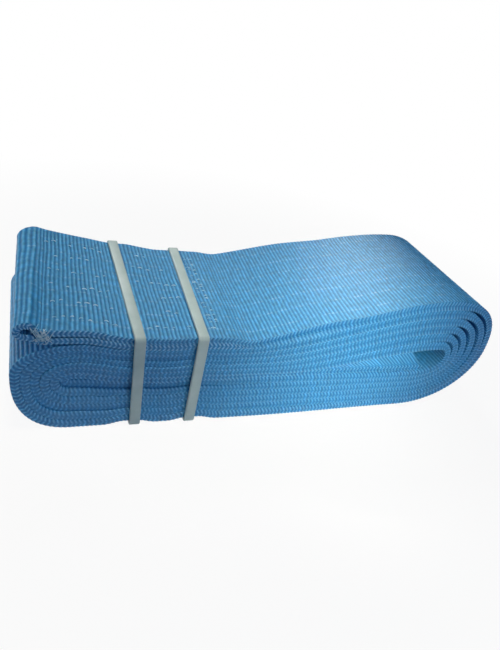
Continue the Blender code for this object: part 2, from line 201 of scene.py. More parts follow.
# Light: each lamp's place, where it aims, its size, its beam's angle, its power and its colour
AMBIENT = 0.10
NEUTRAL, WARM, COOL = (1.0, 1.0, 1.0), (1.0, 0.93, 0.74), (0.55, 0.73, 1.0)
LAMPS = {
    "back": ((0.00, 0.34, 0.36), (0.030, 0.0, 0.04), 0.14, 30.0, 0.036, NEUTRAL),
    "patch": ((0.127, 0.37, 0.36), (0.032, -0.003, 0.040), 0.03, 5.0, 0.0029, WARM),
    "over": ((-0.055, -0.05, 0.45), (-0.040, 0.0, 0.04), 0.12, 24.0, 0.035, WARM),
    "near": ((0.00, -0.38, 0.30), (0.026, -0.025, 0.022), 0.05, 13.0, 0.0200, WARM),
    "front": ((0.25, -0.55, 0.25), (0.0, 0.0, 0.02), 0.30, 180.0, 0.69, COOL),
    "side": ((-0.40, 0.10, 0.10), (-0.07, 0.0, 0.02), 0.10, 30.0, 0.017, NEUTRAL),
}
FLOOR_REACH = 6.0
FLOOR_DROP = 0.0001
FLOOR_WHITE = (0.9, 0.9, 0.9, 1.0)
FLOOR_GLOW = 0.92
GLOW_REACH = (0.09, 0.22)


def smoothstep(value):
    """An S-shaped ramp from 0 to 1."""
    ramp = np.clip(value, 0.0, 1.0)
    return ramp * ramp * (3.0 - 2.0 * ramp)


def ramp_over(x, ends):
    """The same ramp along x, between two places."""
    return smoothstep((x - ends[0]) / (ends[1] - ends[0]))


def mix(start, end, share):
    return start + (end - start) * share


def frame_x(x):
    return x - ROLL_LENGTH / 2


def across_share(y):
    """0 at the near selvedge and 1 at the far one."""
    return y / WIDTH + 0.5


def dent(x):
    """How far the lowest layer is lifted where a tie passes under it."""
    reach = np.min([np.abs(x - tie) for tie in TIE_X], axis=0)
    return (TIE_THICKNESS + TIE_SEAT) * (1.0 - smoothstep((reach - DENT_FLAT) / DENT_SLOPE))


def tied_lift(x):
    """How much higher the strap's far selvedge lies than its near one, level under each tie."""
    between = ramp_over(x, (TIE_X[0] + DENT_FLAT, TIE_X[1] - DENT_FLAT))
    return mix(LEFT_TIE_LIFT, RIGHT_TIE_LIFT, between)


def lower_pitch(x):
    return mix(*LOWER_PITCH, ramp_over(x, LOWER_SQUEEZE_X)) - DENT_FADE * dent(x)


def lower_half(x):
    """Half the webbing's thickness in the lower layers, which lie close together."""
    return (lower_pitch(x) - LAYER_GAP) / 2


def lower_layer(layer, x):
    """Middle height of a lower layer: 0 lies on the floor."""
    return lower_half(x) + layer * lower_pitch(x) + dent(x)


def resting_layer(x):
    """Middle height of the inner end, which rests on the uppermost lower layer."""
    gap = mix(CORE_GAP, REST_GAP, ramp_over(x, LOWER_SQUEEZE_X))
    return lower_layer(INNERMOST, x) + lower_half(x) + HALF + gap


def far_lift(layer, x):
    """How far an upper layer's far selvedge is lifted at the waist."""
    outwards = (INNERMOST - layer) / LEFT_BENDS
    return tied_lift(x) * ramp_over(x, (LEFT_X, SPLIT_X)) * mix(*LIFT_SHARE, outwards)


def upper_layer(layer, x, far):
    """Middle height of an upper layer: -1 is the outermost one, INNERMOST the inner end."""
    if layer == INNERMOST:
        return resting_layer(x) + far * far_lift(layer, x) * (1.0 - ramp_over(x, SETTLE_X))
    outwards = INNERMOST - layer
    waist = resting_layer(x) + outwards * PITCH + far * far_lift(layer, x)
    crown = mix(*CROWN_LOW, far) + (outwards - 1) * mix(*CROWN_PITCH, far)
    start = mix(*RISE_X, far) + LAST_RISE * (layer + 1) / INNERMOST
    return mix(waist, crown, ramp_over(x, (start, CROWN_X)))


def upper_half(layer, x, far):
    """Half the webbing's thickness in an upper layer, which fills out with the room it has."""
    if layer == INNERMOST:
        return np.full_like(x, HALF)
    pitch = (upper_layer(-1, x, far) - upper_layer(INNERMOST - 1, x, far)) / INNERMOST
    half = (pitch - LAYER_GAP) / 2
    return half if layer >= 0 else mix(HALF, half, ramp_over(x, TAIL_STEP))


def outer_layer(x, far):
    """Middle height of the outermost layer, which rides up over the sewn tail."""
    return upper_layer(-1, x, far) + PITCH * (1.0 - ramp_over(x, TAIL_STEP))


def outer_top(x, y):
    """Height of the outermost layer's upper face."""
    near, far = [outer_layer(x, side) + upper_half(-1, x, side) for side in (0, 1)]
    return mix(near, far, across_share(y))


def arc(centre_x, centre_z, reach, height, from_angle, to_angle, squareness=2.0, steps=40):
    """Points of a quarter ellipse, or of a squarer one, without its last point."""
    angles = np.linspace(from_angle, to_angle, steps + 1)[:-1]
    across, up = np.cos(angles), np.sin(angles)
    size = (np.abs(across) ** squareness + np.abs(up) ** squareness) ** (-1.0 / squareness)
    return centre_x + reach * across * size, centre_z + height * up * size


def bend(stretches, halves, slips):
    """A bend made of stretches: points, how far each stands back, and half thicknesses."""
    points = np.hstack(stretches)
    share = np.linspace(0.0, 1.0, points.shape[1], endpoint=False)
    return np.vstack([points, mix(*slips, share), mix(*halves, share)])


def right_bend(layer, far):
    """From a lower layer, round the right end, to the upper layer one step further out.

    Halfway up the layers stand apart.
    """
    low = lower_layer(layer, FLOOR_X)
    high = upper_layer(layer - 1, CROWN_X, far)
    middle = mix(low, high, BULB_SHARE)
    tip = CROWN_X + HOLE_REACH + (INNERMOST - layer) * RIGHT_SIDE_PITCH
    under = arc(FLOOR_X, middle, tip - FLOOR_X, middle - low, -math.pi / 2, 0.0)
    squareness = mix(*BULB_SQUARENESS, far)
    over = arc(CROWN_X, middle, tip - CROWN_X, high - middle, 0.0, math.pi / 2, squareness)
    halves = lower_half(FLOOR_X), upper_half(layer - 1, CROWN_X, far)
    line = bend((under, over), halves, (0.0, 0.0))
    share = np.linspace(0.0, 1.0, line.shape[1])
    line[3] -= CRESCENT_GAP / 2 * ramp_over(share, CRESCENT_RISE) * ramp_over(share, CRESCENT_FALL)
    return line


def left_curve(layer, far):
    """Points from an upper layer, round the left end, to the lower layer of the same number."""
    low = lower_layer(layer, LEFT_X)
    high = upper_layer(layer, LEFT_X, far)
    outwards = INNERMOST - layer
    narrowed = 1.0 - far * LEFT_FAR_INSET / LEFT_X
    reach = (LEFT_CORE_REACH + outwards * LEFT_PITCH) * narrowed
    middle = mix(low, high, mix(LEFT_INNER_SHARE, LEFT_OUTER_SHARE, outwards / INNERMOST))
    down = arc(LEFT_X, middle, reach, high - middle, math.pi / 2, math.pi)
    squareness = mix(2.0, LEFT_SQUARENESS, outwards / INNERMOST)
    under = arc(LEFT_X, middle, reach, middle - low, math.pi, 1.5 * math.pi, squareness)
    return np.hstack([down, under])


def left_bend(layer, far):
    """A left bend whose webbing fills the room up to the bends beside it."""
    points = left_curve(layer, far)
    beside = [other for other in (layer - 1, layer + 1) if 0 <= other <= INNERMOST]
    around = np.hstack([left_curve(other, far) for other in beside])
    away = np.linalg.norm(points[:, :, None] - around[:, None, :], axis=0).min(axis=1)
    line = bend((points,), (HALF, HALF), (0.0, LOWER_SLIP.get(layer, 0.0)))
    line[3] = (away - LAYER_GAP) / 2
    return line


def run(start, end, height, slip, half):
    """A run along x: points, how far each stands behind the near face, and half thicknesses."""
    x = np.linspace(start, end, round(abs(end - start) / STEP) + 1)[:-1]
    return np.vstack([x, height(x), slip(x), half(x)])


def lower_run(layer):
    """A lower layer from left to right."""
    slip = LOWER_SLIP.get(layer, 0.0)
    return run(
        LEFT_X,
        FLOOR_X,
        lambda x: lower_layer(layer, x),
        lambda x: slip * ramp_over(x, LOWER_SLIP_X),
        lower_half,
    )


def upper_run(layer, start, end, far):
    """An upper layer from right to left."""
    height = outer_layer if layer < 0 else lambda x, side: upper_layer(layer, x, side)
    return run(
        start,
        end,
        lambda x: height(x, far),
        lambda x: upper_slip(layer, x),
        lambda x: upper_half(layer, x, far),
    )


def upper_slip(layer, x):
    """How far an upper layer stands behind the near face: the outermost and the inner end do."""
    if layer == INNERMOST:
        return INNER_END_SLIP * ramp_over(x, INNER_END_SLIP_X)
    if layer >= 0:
        return np.zeros_like(x)
    return SLIP * ramp_over(x, SLIP_RISE) * (1.0 - ramp_over(x, SLIP_FALL))


def end_line(y):
    """The strap's inner end at one place across, from its slanted cut to the left bend.

    Its near edge sags onto the layers below, and the rest lies up against the layer above.
    """
    far = across_share(y)
    raised = 1.0 - (1.0 - np.clip(far / EDGE_SAG, 0.0, 1.0)) ** 2
    x = np.linspace(INNER_END_X - INNER_END_SLANT * raised, LEFT_X, round(INNER_END_X / STEP))
    above = INNERMOST - 1
    floor = upper_layer(INNERMOST, x, far)
    roof = upper_layer(above, x, far) - upper_half(above, x, far) - HALF - REST_GAP
    height = mix(floor, np.maximum(floor, roof), raised)
    return np.stack([x, height, upper_slip(INNERMOST, x), np.full_like(x, HALF)], axis=1)


def inner_line(far):
    """The strap from the first left bend to the second layer from the top, at the left tie."""
    stretches = []
    for layer in range(INNERMOST, 0, -1):
        end = JOIN_X if layer == 1 else LEFT_X
        stretches += [left_bend(layer, far), lower_run(layer), right_bend(layer, far)]
        stretches.append(upper_run(layer - 1, CROWN_X, end, far))
    return np.hstack(stretches).T


def outer_line(far):
    """The last turn, from the second layer at the left tie to the top layer at the same tie."""
    stretches = [upper_run(0, JOIN_X, LEFT_X, far), left_bend(0, far)]
    stretches += [lower_run(0), right_bend(0, far), upper_run(-1, CROWN_X, JOIN_X, far)]
    return np.hstack(stretches).T


def measure(points):
    """Distance along a chain of points."""
    spans = np.linalg.norm(np.diff(points, axis=0), axis=1)
    return np.concatenate([[0.0], np.cumsum(spans)])


def strap_section(edge_heights, outer_rows, inner_rows):
    """Places round the webbing's section: across, height from -1 to 1, and the selvedge's share.

    They run over the outer face from near to far, round the far selvedge, back over the inner
    face and round the near selvedge.
    """
    height = np.array(edge_heights[::-1] + tuple(-h for h in edge_heights[1:]))
    bulge = (1.0 - height**EDGE_SQUARENESS) ** (1.0 / EDGE_SQUARENESS)
    flat = WIDTH / 2 - EDGE_ROUND
    far = np.stack([flat + EDGE_ROUND * bulge, height, np.ones_like(height)], axis=1)
    near = far[::-1] * [-1.0, 1.0, 1.0]
    outer = np.array([(y, 1.0, 0.0) for y in outer_rows if abs(y) < flat])
    inner = np.array([(y, -1.0, 0.0) for y in inner_rows[::-1] if abs(y) < flat])
    return np.vstack([outer, far, inner, near])


def binder_places():
    """Middles of the lengthwise binder rows across the width."""
    return (np.arange(BINDER_ROWS) - (BINDER_ROWS - 1) / 2) * BINDER_SPREAD


def fine_rows():
    """Rows across a face that shows: each binder row, its two sides, the ground and both edges."""
    steps = np.array([-BINDER_WIDTH, 0.0, BINDER_WIDTH, BINDER_SPREAD / 2])
    rows = (binder_places()[:, None] + steps).ravel()
    edge = WIDTH / 2 - EDGE_ROUND - EDGE_BAND
    return np.concatenate([[-edge, rows[1] - BINDER_SPREAD / 2], rows, [edge]])


def weave(along, across, height, edge):
    """Relief of the weave, as how far a point sinks or stands out, with its masks.

    Gives the move along the face's normal, the move across at the selvedge, the relief's height
    from 0 to 1 and the binder's mask.
    """
    size, across_wave, along_wave = RIB_WANDER
    wander = size * np.sin(across / across_wave + along / along_wave)
    wander += FINE_WANDER[0] * np.sin(across / FINE_WANDER[1])
    rib = np.abs(np.sin(math.pi * (along + wander) / RIB)) ** RIB_SHARPNESS
    slanted = along / RIB + CHEVRON_SLANT * np.abs(height)
    groove_depth, groove_width = MIDDLE_GROOVE
    middle_groove = 1.0 - groove_depth * np.exp(-((height / groove_width) ** 2))
    chevron = (0.5 - 0.5 * np.cos(2.0 * math.pi * slanted)) * middle_groove
    row = np.min([np.abs(across - middle) for middle in binder_places()], axis=0)
    binder = np.clip(1.0 - row / BINDER_WIDTH, 0.0, 1.0) * (1.0 - edge)
    sink = (-GROOVE * (1.0 - rib) + BINDER_RISE * binder * rib) * (1.0 - edge)
    return sink, CHEVRON * chevron * edge, mix(rib, chevron, edge), binder * rib


def lattice(columns, points, closed):
    """Quads of a grid that closes round its points, and over its ends too if closed."""
    index = np.arange(columns * points).reshape(columns, points)
    after = np.roll(index, -1, axis=0)
    if not closed:
        index, after = index[:-1], after[:-1]
    beside = [np.roll(rows, -1, axis=1) for rows in (index, after)]
    return np.stack([index, beside[0], beside[1], after], axis=-1).reshape(-1, 4)


def is_inside_out(grid, quads):
    """Whether a closed grid's faces point inwards, from the sign of its volume."""
    a, b, c, d = np.moveaxis((grid - grid.mean(axis=(0, 1))).reshape(-1, 3)[quads], 1, 0)
    return np.sum(np.cross(a, b) * c) + np.sum(np.cross(a, c) * d) < 0.0


def solid(name, grids, fields=None, closed=()):
    """One mesh of tubes, each a grid of columns by points, with flat ends unless it is closed."""
    vertices, faces, ends = [], [], []
    start = 0
    for number, grid in enumerate(grids):
        columns, points = grid.shape[:2]
        joined = number in closed
        quads = lattice(columns, points, joined)
        turn = -1 if is_inside_out(grid, quads) else 1
        caps = []
        if not joined:
            caps = [np.arange(points)[::-1], np.arange(points) + (columns - 1) * points]
        faces += (quads[:, ::turn] + start).tolist()
        ends += [(cap[::turn] + start).tolist() for cap in caps]
        vertices.append(grid.reshape(-1, 3))
        start += columns * points
    mesh = bpy.data.meshes.new(name)
    mesh.from_pydata(np.vstack(vertices).tolist(), [], faces + ends)
    mesh.polygons.foreach_set("use_smooth", [True] * len(faces) + [False] * len(ends))
    for field, values in (fields or {}).items():
        mesh.attributes.new(field, "FLOAT", "POINT").data.foreach_set("value", values.ravel())
    mesh.update()
    made = bpy.data.objects.new(name, mesh)
    bpy.context.scene.collection.objects.link(made)
    return made


def strap(name, line_at, columns_per_rib, section, edge_wear_and_highlight, along_start):
    """Sweep the webbing's section along lines that change across its width.

    line_at gives the line at one place across: x, z, how far it stands behind the near face and
    half the webbing's thickness. Also gives the strap's length along its middle.
    """
    across, height, edge = section.T
    lines = np.array([line_at(y) for y in across])
    distance = measure(line_at(0.0)[:, :2])
    length = distance[-1]
    along = np.linspace(0.0, length, round(length / RIB * columns_per_rib) + 1)
    x, z, behind, half = [
        np.stack([np.interp(along, distance, line[:, axis]) for line in lines], axis=1)
        for axis in range(4)
    ]
    slope = np.stack([np.gradient(x, axis=0), np.gradient(z, axis=0)])
    slope /= np.linalg.norm(slope, axis=0)
    grid_along, grid_across = np.meshgrid(along + along_start, across, indexing="ij")
    sink, push, relief, binder = weave(grid_along, grid_across, height, edge)
    offset = height * half + np.sign(height) * sink
    stagger = sum(size * np.sin(grid_along / wave + phase) for size, wave, phase in STAGGERS)
    grid_y = across + behind + stagger + push * np.sign(across)
    grid = np.stack([frame_x(x + offset * slope[1]), grid_y, z - offset * slope[0]], axis=-1)
    fields = {"along": grid_along, "across": grid_across, "relief": relief, "binder": binder}
    # The selvedge's painted highlight and a little wear, for the material
    fields["selvedge_wear_and_highlight"] = np.broadcast_to(edge * edge_wear_and_highlight, relief.shape)
    return solid(name, [grid], fields), length


def between_sides(line):
    """A line that goes over from its near form to its far form across the width."""
    near, far = line(0), line(1)
    return lambda y: mix(near, far, across_share(y))


def eye_shape(y):
    """The eye's crest, its reach, the flap's rise and the curl's, at one place across the width."""
    return [mix(EYE_NEAR[key], EYE_FAR[key], across_share(y)) for key in EYE_NEAR]


def curl(x, crest):
    """A ramp from 0 to 1 over the last stretch before the eye's crest."""
    return smoothstep((crest + CURL_LENGTH - x) / CURL_LENGTH)


def ply_height(x, y, number):
    """Middle height of a flat ply over the roll: 1 is the return ply, 2 the one on top of it."""
    far = across_share(y)
    base = mix(resting_layer(x), resting_layer(np.maximum(x, SPLIT_X)), far)
    flap_lift = FLAP_LIFT * ramp_over(x, FLAP_LIFT_X)
    return base + (INNERMOST + number) * PITCH + tied_lift(x) * far + flap_lift


def eye_upper(x, y):
    """Middle height of the loop's upper ply, which rises and then curls up at the eye."""
    crest, _, flap_rise, curl_rise = eye_shape(y)
    slope = np.maximum(SPLIT_X - x, 0.0) / (SPLIT_X - crest)
    return ply_height(x, y, 2) + flap_rise * slope**FLAP_EASE + curl_rise * curl(x, crest)


def eye_lower(x, y):
    """Middle height of the loop's return ply."""
    floor_rise = CURL_FLOOR_RISE * curl(x, eye_shape(y)[0]) * (1.0 - across_share(y))
    return ply_height(x, y, 1) + floor_rise


def loop_line(y, steps=120):
    """The loop's fold at one place across, from the left tie round to the tail's thinned end."""
    crest, reach = eye_shape(y)[:2]
    ply = np.linspace(JOIN_X, crest, steps)[:-1]
    back = np.linspace(crest, TAIL_END_X, 2 * steps)
    high, low = eye_upper(crest, y), eye_lower(crest, y)
    middle = (high + low) / 2
    down = arc(crest, middle, reach, high - middle, math.pi / 2, math.pi)
    under = arc(crest, middle, reach, middle - low, math.pi, 1.5 * math.pi)
    thinned = ramp_over(back, TAIL_STEP)
    x = np.concatenate([ply, down[0], under[0], back])
    z = np.concatenate([eye_upper(ply, y), down[1], under[1], eye_lower(back, y) - HALF * thinned])
    half = np.full_like(x, HALF)
    half[-len(back):] *= 1.0 - thinned
    return np.stack([x, z, np.zeros_like(x), half], axis=1)


def sweep(path, section, side):
    """Sweep a section along a path. Its offsets run along side, and outwards from path and side."""
    ahead = np.gradient(path, axis=0)
    ahead /= np.linalg.norm(ahead, axis=1)[:, None]
    beside = np.array(side) - (ahead @ np.array(side))[:, None] * ahead
    beside /= np.linalg.norm(beside, axis=1)[:, None]
    out = np.cross(ahead, beside)
    section = np.broadcast_to(section, (len(path),) + section.shape[-2:])
    moved = section[..., :1] * beside[:, None] + section[..., 1:] * out[:, None]
    return path[:, None] + moved


def twisted_section(path, radius, points=10, lobes=2, depth=0.16):
    """Sections of a plied thread, which turn as they go along a path."""
    angles = np.linspace(0.0, 2.0 * math.pi, points, endpoint=False)
    turn = measure(path)[:, None] / THREAD_LAY * 2.0 * math.pi
    size = radius * (1.0 + depth * np.cos(lobes * angles + turn))
    return np.stack([size * np.cos(angles), size * np.sin(angles)], axis=-1)


def sewn_row(start, end, y, surface, chance):
    """Stitches along x on a face, uneven ones that dive into the webbing and often sink in."""
    count = max(1, round((end - start) / STITCH))
    pitch = (end - start) / count
    share = np.linspace(-1.0, 1.0, 13)
    stitches = []
    for middle in start + (np.arange(count) + 0.5) * pitch:
        if chance.random() > STITCH_SHOWS:
            continue
        x = middle + chance.uniform(*STITCH_LENGTHS) / 2.0 * share
        beside = y + chance.uniform(-STITCH_WANDER, STITCH_WANDER)
        rise = THREAD_RADIUS * (STITCH_DIVE[0] - STITCH_DIVE[1] * np.abs(share) ** 3)
        path = np.stack([frame_x(x), np.full_like(x, beside), surface(x, beside) + rise], axis=1)
        stitches.append(sweep(path, twisted_section(path, THREAD_RADIUS), (0.0, 1.0, 0.0)))
    return stitches


def seam_places(count):
    return np.linspace(SEAM_MARGIN - WIDTH / 2, WIDTH / 2 - SEAM_MARGIN, count)


def loop_top(x, y):
    """Height of the loop's upper face."""
    return eye_upper(x, y) + HALF


def throat_stitches():
    """Thread sewn over the near edge of the two plies behind the eye, and its frayed fibres."""
    share = np.linspace(-1.0, 1.0, 17)
    near = -WIDTH / 2
    grids = []
    for x in np.linspace(*THROAT_X, THROAT_STITCHES):
        high, low = loop_top(x, near), eye_lower(x, near)
        path_x = frame_x(x - THROAT_LEAN * share)
        path_y = near - CHEVRON - THREAD_RADIUS / 2 + THROAT_WRAP * np.abs(share) ** 5
        path_z = mix(low, high + THREAD_RADIUS / 2, (share + 1.0) / 2.0)
        path = np.stack([path_x, path_y, path_z], axis=1)
        grids.append(sweep(path, twisted_section(path, THREAD_RADIUS), (0.0, 1.0, 0.0)))
    chance = np.random.default_rng(SEED)
    for x in chance.uniform(*THROAT_X, FIBRES):
        z = chance.uniform(eye_lower(x, near), loop_top(x, near))
        reach = chance.uniform(-FIBRE_REACH, FIBRE_REACH, 2)
        bow = chance.uniform(*FIBRE_BOW)
        path_x = frame_x(x) + reach[0] * share
        path_y = near - CHEVRON - bow * (1.0 - share**2)
        path_z = z + reach[1] * share + bow * share**2
        path = np.stack([path_x, path_y, path_z], axis=1)
        grids.append(sweep(path, twisted_section(path, FIBRE_RADIUS, points=5), (0.0, 1.0, 0.0)))
    return grids


def rounded_loop(half_width, half_height, radius, steps=5):
    """Points round a rectangle with rounded corners."""
    quarter = np.linspace(0.0, math.pi / 2, steps)
    corners = []
    for number, (right, up) in enumerate(((1, 1), (-1, 1), (-1, -1), (1, -1))):
        angles = quarter + number * math.pi / 2
        x = right * (half_width - radius) + radius * np.cos(angles)
        z = up * (half_height - radius) + radius * np.sin(angles)
        corners.append(np.stack([x, z], axis=1))
    return np.vstack(corners)


def rounded_path(corners, radius, steps=8):
    """Points along a chain of corners, each turned into an arc."""
    points = [corners[0]]
    for before, corner, after in zip(corners, corners[1:], corners[2:]):
        back = (before - corner) / np.linalg.norm(before - corner)
        ahead = (after - corner) / np.linalg.norm(after - corner)
        half_turn = math.acos(np.clip(back @ ahead, -1.0, 1.0)) / 2
        middle = (back + ahead) / np.linalg.norm(back + ahead)
        centre = corner + middle * radius / math.sin(half_turn)
        first = corner + back * radius / math.tan(half_turn) - centre
        last = corner + ahead * radius / math.tan(half_turn) - centre
        for share in np.linspace(0.0, 1.0, steps):
            spoke = mix(first, last, share)
            points.append(centre + spoke * radius / np.linalg.norm(spoke))
    return np.array(points + [corners[-1]])


def tie_strap(tie, skew):
    """The tie from its head up the far face, round the roll and out through its head's slot."""
    far_top, near_top, near_bottom = [tie + step for step in skew]
    top = TIE_SEAT + TIE_THICKNESS / 2
    floor = TIE_THICKNESS / 2
    corners = [
        (tie, sum(HEAD_Y) / 2, ROOT_Z),
        (tie, TIE_REACH, ROOT_Z),
        (far_top, TIE_REACH, outer_top(tie, TIE_REACH) + top),
        (near_top, -TIE_REACH, outer_top(tie, -TIE_REACH) + top),
        (near_bottom, LOWER_SLIP[0] - TIE_REACH, floor),
        (tie, TIE_REACH, floor),
        (tie, TIE_REACH, SLOT_Z),
        (tie, TAIL_END_Y, SLOT_Z),
    ]
    path = rounded_path(np.array([(frame_x(x), y, z) for x, y, z in corners]), TIE_CORNER)
    tail = np.arange(HEAD_Y[0] + TOOTH_PITCH, TAIL_END_Y, TOOTH_PITCH / 4)
    tail = np.stack([np.full_like(tail, frame_x(tie)), tail, np.full_like(tail, SLOT_Z)], axis=1)
    path = np.vstack([path[:-1], tail, path[-1:]])
    outline = rounded_loop(TIE_WIDTH / 2, TIE_THICKNESS / 2, TIE_ROUND)
    section = np.repeat(outline[None], len(path), axis=0)
    teeth = np.zeros(len(path))
    teeth[-len(tail) - 1:-1] = TOOTH * (np.arange(len(tail)) % 4) / 3
    section[..., 1] += teeth[:, None] * (section[..., 1] < 0.0)
    return sweep(path, section, (1.0, 0.0, 0.0))


def tie_head(tie):
    """A rounded block with a slot through it, as loops that close on themselves."""
    near, far = HEAD_Y
    half_width = SLOT_WIDTH / 2 + HEAD_WALL
    half_height = (HEAD_Z[1] - HEAD_Z[0]) / 2
    turn = np.linspace(0.0, math.pi / 2, 5)
    corner = [(HEAD_ROUND * (1.0 - math.sin(a)), HEAD_ROUND * (1.0 - math.cos(a))) for a in turn]
    rims = [(near + back, inset) for back, inset in corner[::-1]]
    rims += [(far - back, inset) for back, inset in corner]
    loops = []
    for y, inset in rims:
        outline = rounded_loop(half_width - inset, half_height - inset, HEAD_ROUND)
        loops.append((y, outline[:, 0], outline[:, 1] + sum(HEAD_Z) / 2))
    lip = HEAD_ROUND / 2
    for y, flare in ((far, lip), (far - lip, 0.0), (near + lip, 0.0), (near, lip)):
        outline = rounded_loop(SLOT_WIDTH / 2 + flare, (SLOT_HIGH - SLOT_LOW) / 2 + flare, lip)
        loops.append((y, outline[:, 0], outline[:, 1] + (SLOT_LOW + SLOT_HIGH) / 2))
    rings = [np.stack([frame_x(tie) + x, np.full_like(x, y), z], axis=1) for y, x, z in loops]
    return np.array(rings)


class Nodes:
    """A material's node tree, with short ways to add and link nodes."""

    def __init__(self, name):
        self.material = bpy.data.materials.new(name)
        self.material.use_nodes = True
        self.tree = self.material.node_tree
        self.shader = self.tree.nodes["Principled BSDF"]

    def add(self, kind, inputs=None, **settings):
        node = self.tree.nodes.new(kind)
        for key, value in settings.items():
            setattr(node, key, value)
        for key, value in (inputs or {}).items():
            self.put(node.inputs[key], value)
        return node

    def put(self, socket, value):
        if isinstance(value, bpy.types.NodeSocket):
            self.tree.links.new(value, socket)
        else:
            socket.default_value = value

    def field(self, name):
        return self.add("ShaderNodeAttribute", attribute_name=name).outputs["Fac"]

    def place(self):
        return self.add("ShaderNodeTexCoord").outputs["Object"]

    def math(self, operation, first, second=0.0, third=0.0):
        node = self.add("ShaderNodeMath", {0: first, 1: second, 2: third}, operation=operation)
        return node.outputs[0]

    def vector(self, x, y, z=0.0):
        return self.add("ShaderNodeCombineXYZ", {"X": x, "Y": y, "Z": z}).outputs[0]

    def noise(self, vector, scale, detail=2.0):
        inputs = {"Vector": vector, "Scale": scale, "Detail": detail}
        return self.add("ShaderNodeTexNoise", inputs).outputs["Fac"]

    def span(self, value, low, high, from_low=0.0, from_high=1.0):
        inputs = {"Value": value, "From Min": from_low, "From Max": from_high}
        inputs.update({"To Min": low, "To Max": high})
        return self.add("ShaderNodeMapRange", inputs).outputs["Result"]

    def ramp(self, value, stops):
        node = self.add("ShaderNodeValToRGB", {"Fac": value})
        elements = node.color_ramp.elements
        while len(elements) < len(stops):
            elements.new(0.5)
        for element, (position, colour) in zip(elements, stops):
            element.position = position
            element.color = (*colour, 1.0)
        return node.outputs["Color"]

    def grey(self, value):
        inputs = {"Red": value, "Green": value, "Blue": value}
        return self.add("ShaderNodeCombineColor", inputs).outputs[0]

    def blend(self, share, first, second, how="MIX"):
        node = self.add("ShaderNodeMix", data_type="RGBA", blend_type=how)
        self.put(node.inputs[0], share)
        self.put(node.inputs[6], first)
        self.put(node.inputs[7], second)
        return node.outputs[2]

    def bump(self, height, strength, distance):
        inputs = {"Height": height, "Strength": strength, "Distance": distance}
        return self.add("ShaderNodeBump", inputs).outputs["Normal"]

    def finish(self, **inputs):
        for key, value in inputs.items():
            self.put(self.shader.inputs[key.replace("_", " ")], value)
        return self.material


# Webbing's look: its colours, its noises' scales per metre, and what their values become
# Around the mid blue, the groove colour is painted shade and the crest colour is a painted
# highlight
GROOVE_SHADE_BLUE = (0.006, 0.130, 0.365)
MID_BLUE = (0.027, 0.252, 0.548)
CREST_HIGHLIGHT_BLUE = (0.105, 0.395, 0.690)
PALE_BLUE = (0.420, 0.640, 0.820)
SHEEN_BLUE = (0.45, 0.80, 1.0, 1.0)
MID_PLACE = 0.6
# How much the selvedge crests pale: a painted highlight with a little fuzzy wear, most on the loop
EDGE_WEAR_AND_HIGHLIGHT = 0.12
LOOP_EDGE_WEAR_AND_HIGHLIGHT = 0.50
RIB_NOISE, BREAK_NOISE, PATCH_NOISE, FUZZ_NOISE = 480.0, 420.0, 45.0, 5200.0
NOISE_STRETCH = 1.6
RIB_TONE = (0.78, 1.22, 0.3, 0.7)
PATCH_TONE = (0.92, 1.08)
BINDER_SHOWS = (0.0, 0.6, 0.45, 0.65)
WEBBING_ROUGHNESS = (0.42, 0.58, 0.6, 1.4)
WEBBING_BUMP = (0.5, 0.00006)
YARN = 0.00042

# The same for the thread and the ties
THREAD_COLOURS = ((0.35, (0.18, 0.44, 0.66)), (0.65, (0.60, 0.76, 0.86)))
THREAD_NOISE, FIBRE_NOISE = 900.0, 9000.0
THREAD_BUMP = (0.5, 0.00005)
NYLON_COLOURS = ((0.3, (0.35, 0.45, 0.47)), (0.7, (0.43, 0.53, 0.55)))
CLOUD_NOISE, SCUFF_NOISE = 160.0, 2400.0
NYLON_ROUGHNESS = (0.30, 0.48, 0.35, 0.65)
NYLON_BUMP = (0.25, 0.00004)
NYLON_DEPTH = 0.0008


def webbing_material():
    """Woven polyester: ribs with painted shade in their grooves and a painted highlight on their
    crests, pale binder rows, selvedge crests with a painted highlight and a little wear, and fine
    lengthwise yarns.
    """
    nodes = Nodes("webbing_weave")
    along, across = nodes.field("along"), nodes.field("across")
    relief, binder = nodes.field("relief"), nodes.field("binder")
    flat = nodes.vector(along, across)
    stretched = nodes.vector(nodes.math("MULTIPLY", along, NOISE_STRETCH), across)
    # The ramp paints shade into the rib and chevron grooves and a highlight onto their crests
    colour = nodes.ramp(relief, [(0.0, GROOVE_SHADE_BLUE), (MID_PLACE, MID_BLUE), (1.0, CREST_HIGHLIGHT_BLUE)])
    per_rib = nodes.noise(stretched, RIB_NOISE)
    patch = nodes.noise(flat, PATCH_NOISE, 3.0)
    rib_tone, patch_tone = nodes.span(per_rib, *RIB_TONE), nodes.span(patch, *PATCH_TONE)
    tone = nodes.grey(nodes.math("MULTIPLY", rib_tone, patch_tone))
    colour = nodes.blend(1.0, colour, tone, "MULTIPLY")
    broken = nodes.noise(stretched, BREAK_NOISE)
    shows = nodes.math("MULTIPLY", binder, nodes.span(broken, *BINDER_SHOWS))
    colour = nodes.blend(shows, colour, (*PALE_BLUE, 1.0))
    # Painted highlight on the selvedge crests, with a little wear
    crest_wear_and_highlight = nodes.math("MULTIPLY", nodes.field("selvedge_wear_and_highlight"), nodes.math("POWER", relief, 3.0))
    colour = nodes.blend(crest_wear_and_highlight, colour, (*PALE_BLUE, 1.0))
    yarns = nodes.math("SINE", nodes.math("MULTIPLY", across, 2.0 * math.pi / YARN))
    fuzz = nodes.noise(flat, FUZZ_NOISE, 3.0)
    fine = nodes.math("ADD", nodes.math("MULTIPLY", yarns, 0.5), fuzz)
    return nodes.finish(
        Base_Color=colour,
        Roughness=nodes.span(nodes.math("ADD", fuzz, patch), *WEBBING_ROUGHNESS),
        Specular_IOR_Level=0.5,
        Sheen_Weight=0.15,
        Sheen_Roughness=0.4,
        Sheen_Tint=SHEEN_BLUE,
        Normal=nodes.bump(fine, *WEBBING_BUMP),
    )


